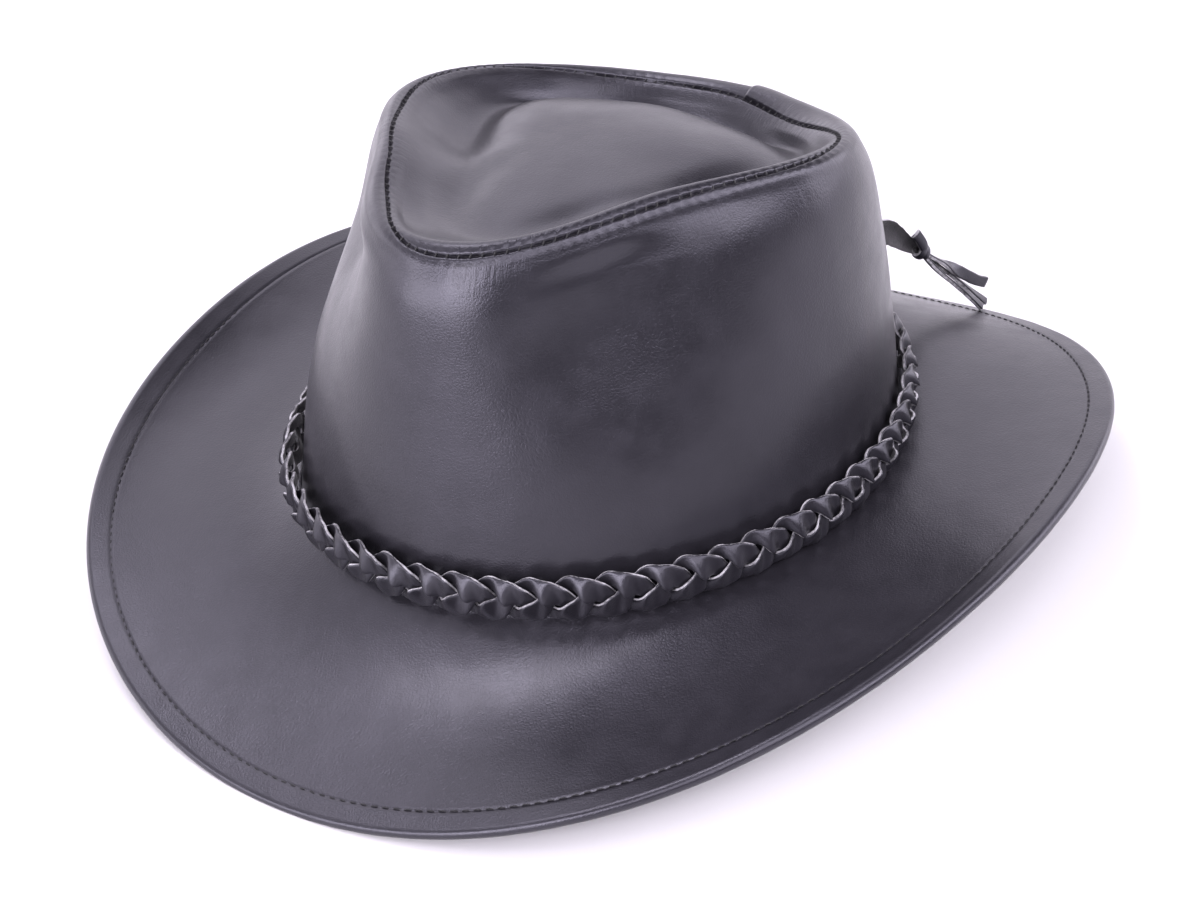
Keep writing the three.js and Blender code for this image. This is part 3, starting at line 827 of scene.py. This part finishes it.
def make_brim():
    angles = angles_round(BRIM_TURNS)
    width = brim_width(angles)
    stitch_reach = np.full(BRIM_TURNS, 1 - HEM_STITCH_IN / TYPICAL_WIDTH)
    run, whole = lengths_round(brim_face(angles, stitch_reach))
    stitches = round(whole / STITCH_PITCH)
    phase = run / whole * stitches
    rows, kinds = [], []

    def fade_in(inside, start, within):
        return smooth((start - inside) / within)

    def add_row(reach, lift, kind):
        rows.append(np.broadcast_arrays(reach, lift, angles)[:2])
        kinds.append(kind)

    def add_hem_row(inside, lift, kind=GRAIN):
        add_row(EDGE_REACH - inside / width, lift, kind)

    wave = sines(phase, HEM_WAVES)
    for reach in TOP_REACHES:
        add_row(reach, 0, GRAIN)
    for inside in HEM_TOP_ROWS:
        sway = wave * fade_in(inside, *HEM_WAVE_START)
        swell = HEM_RISE * fade_in(inside, *HEM_RISE_START) + sway
        tug = ridge(inside, STITCH_TUG) * np.cos(tau * phase)
        add_hem_row(inside, swell - ridge(inside, TOP_DENT) - tug)
    for turn in np.linspace(0, pi, EDGE_ROWS):
        drop = EDGE_RADIUS * (1 - math.cos(turn))
        add_hem_row(EDGE_RADIUS * (1 - math.sin(turn)), HEM_RISE - drop + wave)
    for inside in HEM_UNDER_ROWS:
        add_hem_row(inside, HEM_RISE - 2 * EDGE_RADIUS + ridge(inside, UNDER_DENT) + wave)
    ragged = HEM_CUT_IN + sines(phase, CUT_WAVES)
    add_hem_row(ragged, -BRIM_LEATHER - HEM_CUT_LIFT, CUT)
    add_hem_row(ragged + HEM_CUT_SLANT, -BRIM_LEATHER, ROUGH)
    for reach in UNDER_REACHES:
        add_row(reach, -BRIM_LEATHER, ROUGH)
    add_row(BRIM_START, -BRIM_LEATHER, CUT)

    reach, lift = np.array(rows).swapaxes(0, 1)
    face = brim_face(angles[None], reach)
    uneven = BRIM_WAVER_HIGH * BRIM_WAVER(face) + BRIM_DIMPLES_HIGH * DIMPLES(face)
    lift = lift + uneven * smooth(reach / PLAIN_BY_FOOT)
    points = face + upper_side(angles, reach) * lift[..., None]
    points[..., 2] = np.maximum(points[..., 2], 0)
    faces = grid_faces(len(points), BRIM_TURNS, closed_rows=True)[:, ::-1]
    look = [BRIM_GRAIN, FLESH, RAW_EDGE]
    kinds = np.repeat(kinds, BRIM_TURNS)
    uv = sheet_places(run, reach * TYPICAL_WIDTH)
    brim = add_mesh("brim_leather", metres(points), faces, look, kinds, uv)
    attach(brim, "root")
    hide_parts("brim")
    return angles, phase, stitches


def stitch_row(name, middles, alongs, outs, length, thick, sink):
    """A row of stitches: each one a short thread that dives into the leather at both ends."""
    rings, sides, end_thickness, stands_out = 7, 6, 0.55, 0.55
    share = np.linspace(-1, 1, rings)
    turn = angles_round(sides)
    across = np.cross(alongs, outs)
    arc = np.sqrt(np.maximum(1 - share**2, 0))
    radius = (thick / 2 * mix(end_thickness, 1, arc))[:, None]
    lift = ((thick * stands_out + sink) * arc - sink)[:, None]
    points = (
        middles[:, None, None]
        + alongs[:, None, None] * (share * length / 2)[None, :, None, None]
        + outs[:, None, None] * (lift + radius * np.sin(turn))[None, :, :, None]
        + across[:, None, None] * (radius * np.cos(turn))[None, :, :, None]
    )
    index = np.arange(points[..., 0].size).reshape(points.shape[:3])
    after = np.roll(index, -1, 2)
    corners = [index[:, :-1], after[:, :-1], after[:, 1:], index[:, 1:]]
    quads = np.stack(corners, -1).reshape(-1, 4)
    ends = np.concatenate([index[:, 0, ::-1], index[:, -1]])
    on_thread = np.broadcast_arrays(share[None, :, None] * length, turn, points[..., 0])[:2]
    uv = np.stack(on_thread, -1).reshape(-1, 2)
    row = add_mesh(name, metres(points), quads.tolist() + ends.tolist(), [THREAD], uv=uv)
    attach(row, "root")


HEM_STITCH = {"length": STITCH_PITCH * 0.72, "thick": 0.42, "sink": 0.22}
HEM_STITCH_SLANT = (0.06, 0.05)
HEM_STITCH_DEPTH = 0.1
CLEAR_OF_TABLE = 0.9
SEAM_STITCH = {"length": 1.9, "thick": 0.5, "sink": 0.4}
SEAM_STITCH_SLANT = 0.35
SEAM_STITCH_DEPTH = 0.42
REACH_STEP = 0.002
ANGLE_STEP = 0.003
ROW_STEP = 0.05


def on_brim(angles, inside, below):
    """Places on the brim, this far in from its edge, with the ways along and out of it."""
    reach = EDGE_REACH - inside / brim_width(angles)
    middle = brim_face(angles, reach)
    along = unit(brim_face(angles + REACH_STEP, reach) - brim_face(angles - REACH_STEP, reach))
    wide = unit(brim_face(angles, reach + REACH_STEP) - brim_face(angles, reach - REACH_STEP))
    up = unit(np.cross(wide, along))
    if below:
        return middle - up * (2 * EDGE_RADIUS - HEM_CUT_LIFT), along, -up
    return middle - up * HEM_STITCH_DEPTH, along, up


def make_hem_stitches(angles, phase, stitches):
    table_angles = np.append(angles, tau)
    table_phase = np.append(phase, stitches)
    places = np.interp(np.arange(stitches) + 0.5, table_phase, table_angles)
    draw = np.random.default_rng(5)
    for name, below in (("hem_stitches_top", False), ("hem_stitches_under", True)):
        middles, alongs, outs = on_brim(places, HEM_STITCH_IN, below)
        keep = middles[:, 2] > CLEAR_OF_TABLE if below else np.full(len(places), True)
        slant = draw.normal(*HEM_STITCH_SLANT, len(places))[:, None]
        alongs = unit(alongs + np.cross(alongs, outs) * slant)
        stitch_row(name, middles[keep], alongs[keep], outs[keep], **HEM_STITCH)


def make_seam_stitches():
    fine = angles_round(FINE_TURNS)
    whole = int(round(seam_phase(np.array([tau - 1e-9]))[0]))
    phase = np.append(seam_phase(fine), whole)
    places = np.interp(np.arange(whole), phase, np.append(fine, tau))
    row = seam_row(places)
    along = unit(on_seam(places + ANGLE_STEP) - on_seam(places - ANGLE_STEP))
    over = unit(crown_face(places, row + ROW_STEP) - crown_face(places, row - ROW_STEP))
    out = unit(np.cross(along, over))
    slant = unit(over + along * SEAM_STITCH_SLANT)
    middle = on_seam(places) - out * SEAM_STITCH_DEPTH
    stitch_row("tip_seam_stitches", middle, slant, out, **SEAM_STITCH)


STRANDS = 3
PLAIT_TURNS = 19
PLAIT_STEPS = 54
STRAND_THICKNESS = 1.15
BAND_HALF_DEPTH = 3.15
BAND_HALF_HEIGHT = 6.9

# One strand's way through the plait, as the cosine and sine parts of waves, in millimetres and
# radians. Bow is how far its middle bulges outwards.
PLAIT_UP = {1: (1.07, 4.464), 3: (-0.343, 0.503), 5: (0.096, -0.064), 7: (-0.099, 0.043)}
PLAIT_LEAN = {1: (-0.111, -0.262), 3: (-0.073, 0.139), 5: (0.015, -0.056), 7: (0.021, 0.017)}
PLAIT_OUT = {0: (-0.208, 0.0), 2: (-0.443, -1.156), 4: (0.351, 0.099), 6: (-0.065, -0.149)}
PLAIT_WIDTH = {0: (6.201, 0.0), 2: (0.451, -1.868), 4: (0.486, -0.042), 6: (-0.042, -0.598)}
PLAIT_BOW = {0: (0.242, 0.0), 2: (-0.093, -0.157), 4: (0.249, -0.11), 6: (-0.008, -0.009)}
# How far the laces stray from it: up, in width (a share), in lean, and at their cut edges.
SLACK = 0.16
SPREAD = 0.035
ROLL = 0.05
FRAY = 0.06
SLACK_WAVELENGTH = 13


def wave_sum(waves, phase):
    return sum(
        cos * np.cos(wave * phase) + sin * np.sin(wave * phase)
        for wave, (cos, sin) in waves.items()
    )


def lace_outline(face_points):
    """A lace's section, as shares of its width and thickness, with the material there."""
    face = np.linspace(-0.46, 0.46, face_points)
    outline = [(share, 0.5, GRAIN) for share in face]
    outline += [(0.485, 0.42, GRAIN), (0.5, 0.2, CUT), (0.5, -0.2, CUT)]
    outline += [(0.49, -0.4, ROUGH)] + [(share, -0.5, ROUGH) for share in face[::-1]]
    outline += [(-0.49, -0.4, CUT), (-0.5, -0.2, CUT)]
    return outline + [(-0.5, 0.2, GRAIN), (-0.485, 0.42, GRAIN)]


LACE_OUTLINE = lace_outline(face_points=9)
LACE_KINDS = [kind for _, _, kind in LACE_OUTLINE]
LACE_MATERIALS = [LACE_GRAIN, FLESH, RAW_EDGE]


def make_strand(strand):
    count = PLAIT_TURNS * PLAIT_STEPS
    angle = angles_round(count)
    phase = PLAIT_TURNS * angle + tau * strand / STRANDS
    base = foot_out(angle) + PIECE_GAP + BAND_HALF_DEPTH
    height = around("baseUp", angle) + PIECE_GAP + BAND_HALF_HEIGHT
    middle = polar((0, 0), base, angle, height)
    seeds = (30 + strand, 40 + strand, 50 + strand)
    slack, spread, roll = (Ripples(seed, SLACK_WAVELENGTH)(middle) for seed in seeds)
    up = wave_sum(PLAIT_UP, phase) + SLACK * slack
    out = wave_sum(PLAIT_OUT, phase)
    lean = wave_sum(PLAIT_LEAN, phase) + ROLL * roll
    width = wave_sum(PLAIT_WIDTH, phase) * (1 + SPREAD * spread)
    bow = wave_sum(PLAIT_BOW, phase)
    draw = np.random.default_rng(60 + strand)
    rows = []
    for side_share, face_share, kind in LACE_OUTLINE:
        frayed = draw.normal(0, FRAY, count) if kind == CUT else 0
        side = side_share * width + frayed * np.sign(side_share)
        face = face_share * STRAND_THICKNESS + bow * (1 - 4 * side_share**2)
        radial = base + out + side * np.sin(lean) + face * np.cos(lean)
        lifted = height + up + side * np.cos(lean) - face * np.sin(lean)
        rows.append(polar(BASE_MIDDLE, radial, angle, lifted))
    faces = grid_faces(len(rows), count, closed_rows=True)
    kinds = np.repeat(LACE_KINDS, count)
    name = f"band_lace_{strand + 1}"
    piece = add_mesh(name, metres(rows), faces, LACE_MATERIALS, kinds)
    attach(piece, "root")
    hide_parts(f"band_strand_{strand + 1}")


# The tie, in its upright plane through the head's axis. A route's rows are out from the axis, up
# from the table, aside (away from the camera) and the lace's width there.
TIE_ANGLE = radians(65)
LACE_THICKNESS = 1.4
LOOP_ROUTE = [
    (103.4, 41.2, 0.0, 5.4), (105.2, 48.5, 0.0, 7.0), (108.6, 53.9, 0.0, 8.2),
    (112.6, 55.3, 0.0, 8.8), (116.5, 52.9, 0.0, 8.2), (119.8, 49.8, 0.0, 6.9),
    (122.9, 46.7, 0.0, 5.2), (126.4, 43.6, 0.0, 3.6),
]
LOOP_BACK_ROUTE = [
    (103.6, 40.6, 3.2, 4.6), (105.6, 46.8, 3.6, 5.6), (109.0, 51.6, 4.0, 6.4),
    (112.8, 53.4, 4.0, 6.8), (116.6, 51.4, 3.4, 6.4), (120.0, 48.6, 2.6, 5.4),
    (123.4, 45.6, 1.8, 4.2), (127.0, 43.0, 1.0, 3.0),
]
UPPER_ROUTE = [
    (129.0, 42.1, 0.0, 3.2), (133.0, 38.3, 0.0, 3.3), (137.9, 34.3, 0.0, 3.5),
    (142.3, 30.7, 0.0, 3.8), (147.2, 26.6, 0.0, 4.0), (152.2, 22.6, 0.0, 3.9),
    (156.2, 20.3, 0.0, 3.9),
]
LEFT_ROUTE = [
    (128.6, 41.5, -0.6, 2.0), (133.3, 34.6, -1.6, 2.2), (139.8, 27.2, -2.0, 2.4),
    (146.0, 20.6, -2.0, 2.5), (153.2, 12.4, -1.6, 2.5),
]
RIGHT_ROUTE = [
    (129.4, 41.2, 0.6, 2.0), (133.8, 36.0, 1.4, 2.2), (140.2, 29.6, 1.8, 2.4),
    (146.6, 22.9, 1.8, 2.5), (152.4, 16.6, 1.6, 2.6), (157.4, 11.4, 1.4, 2.6),
]
SHORT_ROUTE = [
    (128.6, 42.4, -1.6, 2.6), (128.0, 45.2, -2.0, 3.0), (126.8, 48.0, -1.8, 3.4),
    (125.1, 50.7, -1.6, 3.6),
]
# Each free end: piece, node and route, the shares of its way where it turns flat, and its seed.
FREE_ENDS = [
    ("tie_upper_lace", "tie_upper_end", UPPER_ROUTE, 0.25, 0.7, 3),
    ("tie_left_lace", "tie_left_end", LEFT_ROUTE, 0.3, 1.6, 4),
    ("tie_right_lace", "tie_right_end", RIGHT_ROUTE, 0.3, 1.5, 5),
]
FREE_END_BOW = 0.15
ROUTE_POINTS = 44
RAGGED = 0.05
RAGGED_SPAN = 3
KNOT_MIDDLE = (128.2, 42.5)
KNOT_RADIUS = 2.1
KNOT_TURNS = 1.6
KNOT_PITCH = 1.5
KNOT_LACE = 2.6
KNOT_POINTS = 60
OUT_WAY = np.array([math.cos(TIE_ANGLE), math.sin(TIE_ANGLE), 0.0])
SIDE_WAY = np.array([-math.sin(TIE_ANGLE), math.cos(TIE_ANGLE), 0.0])
UP_WAY = np.array([0.0, 0.0, 1.0])
# The other laces: piece, node, route, points along it, the way it faces, its bow and its seed.
FLAT_LACES = [
    ("tie_short_lace", "tie_short_end", SHORT_ROUTE, 16, -SIDE_WAY, 0.3, 6),
    ("tie_loop_lace", "tie_loop", LOOP_ROUTE, ROUTE_POINTS, SIDE_WAY, 1.9, 7),
    ("tie_loop_back_lace", "tie_loop", LOOP_BACK_ROUTE, ROUTE_POINTS, SIDE_WAY, 1.0, 9),
]


def tie_point(out, up, aside=0.0):
    return out * OUT_WAY + aside * SIDE_WAY + up * UP_WAY


def fine_route(route, count):
    """A smooth line through the points of a route, and the lace's width at each point of it."""
    points = np.array([[*tie_point(out, up, aside), width] for out, up, aside, width in route])
    first, last = 2 * points[0] - points[1], 2 * points[-1] - points[-2]
    padded = np.concatenate([[first], points, [last]])
    places = np.linspace(0, len(points) - 1, count)
    index = np.minimum(places.astype(int), len(points) - 2)
    share = (places - index)[:, None]
    p0, p1, p2, p3 = (padded[index + step] for step in range(4))
    square = 2 * p0 - 5 * p1 + 4 * p2 - p3
    cube = 3 * p1 - p0 - 3 * p2 + p3
    line = 0.5 * (2 * p1 + (p2 - p0) * share + square * share**2 + cube * share**3)
    return line[:, :3], line[:, 3]


def lace_mesh(name, line, width, side_way, grain_way, bow, seed, twist=0.0):
    """A flat lace along a line. Its width lies along side_way, turned by twist.

    Its grain faces grain_way, and bow is how far its middle stands out on that side.
    """
    count = len(line)
    along = unit(np.gradient(line, axis=0))
    side = unit(side_way - along * (along * side_way).sum(-1, keepdims=True))
    face = np.cross(along, side)
    face = face * np.sign((face * grain_way).sum())
    turn = np.broadcast_to(twist, count)[:, None]
    cos, sin = np.cos(turn), np.sin(turn)
    side, face = side * cos + face * sin, face * cos - side * sin
    draw = np.random.default_rng(seed)
    average = np.ones(RAGGED_SPAN) / RAGGED_SPAN
    ragged = 1 + RAGGED * np.convolve(draw.normal(size=count), average, "same")
    points = [
        line
        + side * (across * width * ragged)[:, None]
        + face * (through * LACE_THICKNESS + bow * (1 - 4 * across**2))
        for across, through, _ in LACE_OUTLINE
    ]
    index = np.arange(len(LACE_OUTLINE) * count).reshape(-1, count)
    faces = tube_faces(index) + [index[::-1, 0].tolist(), index[:, -1].tolist()]
    kinds = np.append(np.repeat(LACE_KINDS, count - 1), [CUT, CUT])
    piece = add_mesh(name, metres(points), faces, LACE_MATERIALS, kinds)
    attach(piece, "root")
    return piece


def make_free_end(name, node, route, flat_from, flat_by, seed):
    """A free end, which leaves the knot edge on and turns flat on the way."""
    line, width = fine_route(route, ROUTE_POINTS)
    share = np.linspace(0, 1, len(line))
    twist = pi / 2 * smooth((share - flat_from) / (flat_by - flat_from))
    piece = lace_mesh(name, line, width, SIDE_WAY, UP_WAY, FREE_END_BOW, seed, twist)
    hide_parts(node)
    way = metres(line)


def make_flat_lace(name, node, route, points, grain_way, bow, seed):
    line, width = fine_route(route, points)
    in_plane = np.cross(unit(line[-1] - line[0]), SIDE_WAY)
    piece = lace_mesh(name, line, width, in_plane, grain_way, bow, seed)
    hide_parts(node)


def make_knot():
    axis = unit(tie_point(*UPPER_ROUTE[1][:2]) - tie_point(*LOOP_ROUTE[-2][:2]))
    across = np.cross(axis, SIDE_WAY)
    share = np.linspace(0, 1, KNOT_POINTS)[:, None]
    turn = tau * KNOT_TURNS * share
    spoke = SIDE_WAY * np.cos(turn) + across * np.sin(turn)
    way = axis * KNOT_PITCH * KNOT_TURNS * (share - 0.5)
    line = tie_point(*KNOT_MIDDLE) + spoke * KNOT_RADIUS + way
    width = np.full(KNOT_POINTS, KNOT_LACE)
    knot = lace_mesh("tie_knot_lace", line, width, axis, spoke, bow=0.25, seed=8)
    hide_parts("tie_knot")


for end in FREE_ENDS:
    make_free_end(*end)
for lace in FLAT_LACES:
    make_flat_lace(*lace)
make_knot()
make_crown_side()
make_crown_tip()
make_hem_stitches(*make_brim())
make_seam_stitches()
for number in range(STRANDS):
    make_strand(number)


STUDIO_TINT = (1.0, 0.94, 1.06)
FLOOR_PALE = (0.64, 0.64, 0.64, 1)
FLOOR_ROUGHNESS = 0.9
BLACK = (0, 0, 0, 1)
WHITE = (1, 1, 1, 1)
WORLD_STRENGTH = 0.03
HAT_MIDDLE = 0.06
FLOOR_DROP = -0.0002
FLOOR_RADIUS = 1.6
BALL_RADIUS = 3.0
STAGE_SIDES = 96
STAGE_RINGS = 24


def add_stage_piece(name, points, faces, inputs):
    mesh = bpy.data.meshes.new(name)
    mesh.from_pydata(points, [], faces)
    mesh.materials.append(Nodes(name + "_paper").surface(inputs))
    piece = add_object(name, mesh)
    return piece


def ring_of_points(radius, height):
    return polar((0, 0), radius, angles_round(STAGE_SIDES), np.full(STAGE_SIDES, height)).tolist()


def make_stage():
    """A round floor in a white ball that only the camera sees, so it adds no light."""
    paper = {"Base Color": FLOOR_PALE, "Roughness": FLOOR_ROUGHNESS}
    floor = [list(range(STAGE_SIDES))]
    add_stage_piece("floor", ring_of_points(FLOOR_RADIUS, FLOOR_DROP), floor, paper)
    points = []
    for rise in np.linspace(-pi / 2, pi / 2, STAGE_RINGS):
        points += ring_of_points(BALL_RADIUS * math.cos(rise), BALL_RADIUS * math.sin(rise))
    glow = {"Base Color": BLACK, "Specular IOR Level": 0}
    glow |= {"Emission Color": WHITE, "Emission Strength": 1.0}
    ball = add_stage_piece("backdrop", points, grid_faces(STAGE_RINGS, STAGE_SIDES).tolist(), glow)
    ball.visible_diffuse = ball.visible_glossy = ball.visible_shadow = False
    world = bpy.data.worlds.new("studio")
    world.use_nodes = True
    background = world.node_tree.nodes["Background"]
    background.inputs["Color"].default_value = (*STUDIO_TINT, 1)
    background.inputs["Strength"].default_value = WORLD_STRENGTH
    bpy.context.scene.world = world


# Soft panels: name, azimuth and elevation, how wide and high they look from the hat, all in
# degrees, and radiance.
PANEL_DISTANCE = 2.0
PANELS = [
    ("front_low", -14, 12, 60, 22, 7.2),
    ("front_spot", 4, 28, 26, 18, 11.0),
    ("by_camera", 45, 37, 60, 26, 4.0),
    ("above_camera", 60, 63, 60, 26, 4.4),
    ("left_high", 105, 37, 60, 26, 6.6),
    ("back_left", 140, 13, 52, 26, 4.0),
    ("back", -165, 12, 60, 24, 1.5),
    ("right_low", -90, 12, 90, 24, 2.5),
    ("right_high", -143, 37, 86, 26, 1.8),
    ("right_front_high", -70, 37, 60, 26, 1.0),
    ("right_top", -90, 63, 120, 26, 1.4),
    ("right_spot", -95, 69, 52, 18, 10.0),
]


def make_panel(name, azimuth, elevation, wide, high, radiance):
    rise = radians(elevation)
    way = way_to(radians(azimuth), rise)
    width = 2 * PANEL_DISTANCE * math.tan(radians(wide) / 2) * math.cos(rise)
    height = 2 * PANEL_DISTANCE * math.tan(radians(high) / 2)
    data = bpy.data.lights.new(name, "AREA")
    data.shape = "RECTANGLE"
    data.size, data.size_y = width, height
    data.energy = radiance * pi * width * height
    data.color = STUDIO_TINT
    lamp = add_object(name, data)
    lamp.location = way * PANEL_DISTANCE + Vector((0, 0, HAT_MIDDLE))
    lamp.rotation_euler = way.to_track_quat("Z", "Y").to_euler()
    lamp.visible_camera = False


bpy.context.scene.view_settings.view_transform = "Standard"
make_stage()
for panel in PANELS:
    make_panel(*panel)

bpy.context.view_layer.update()
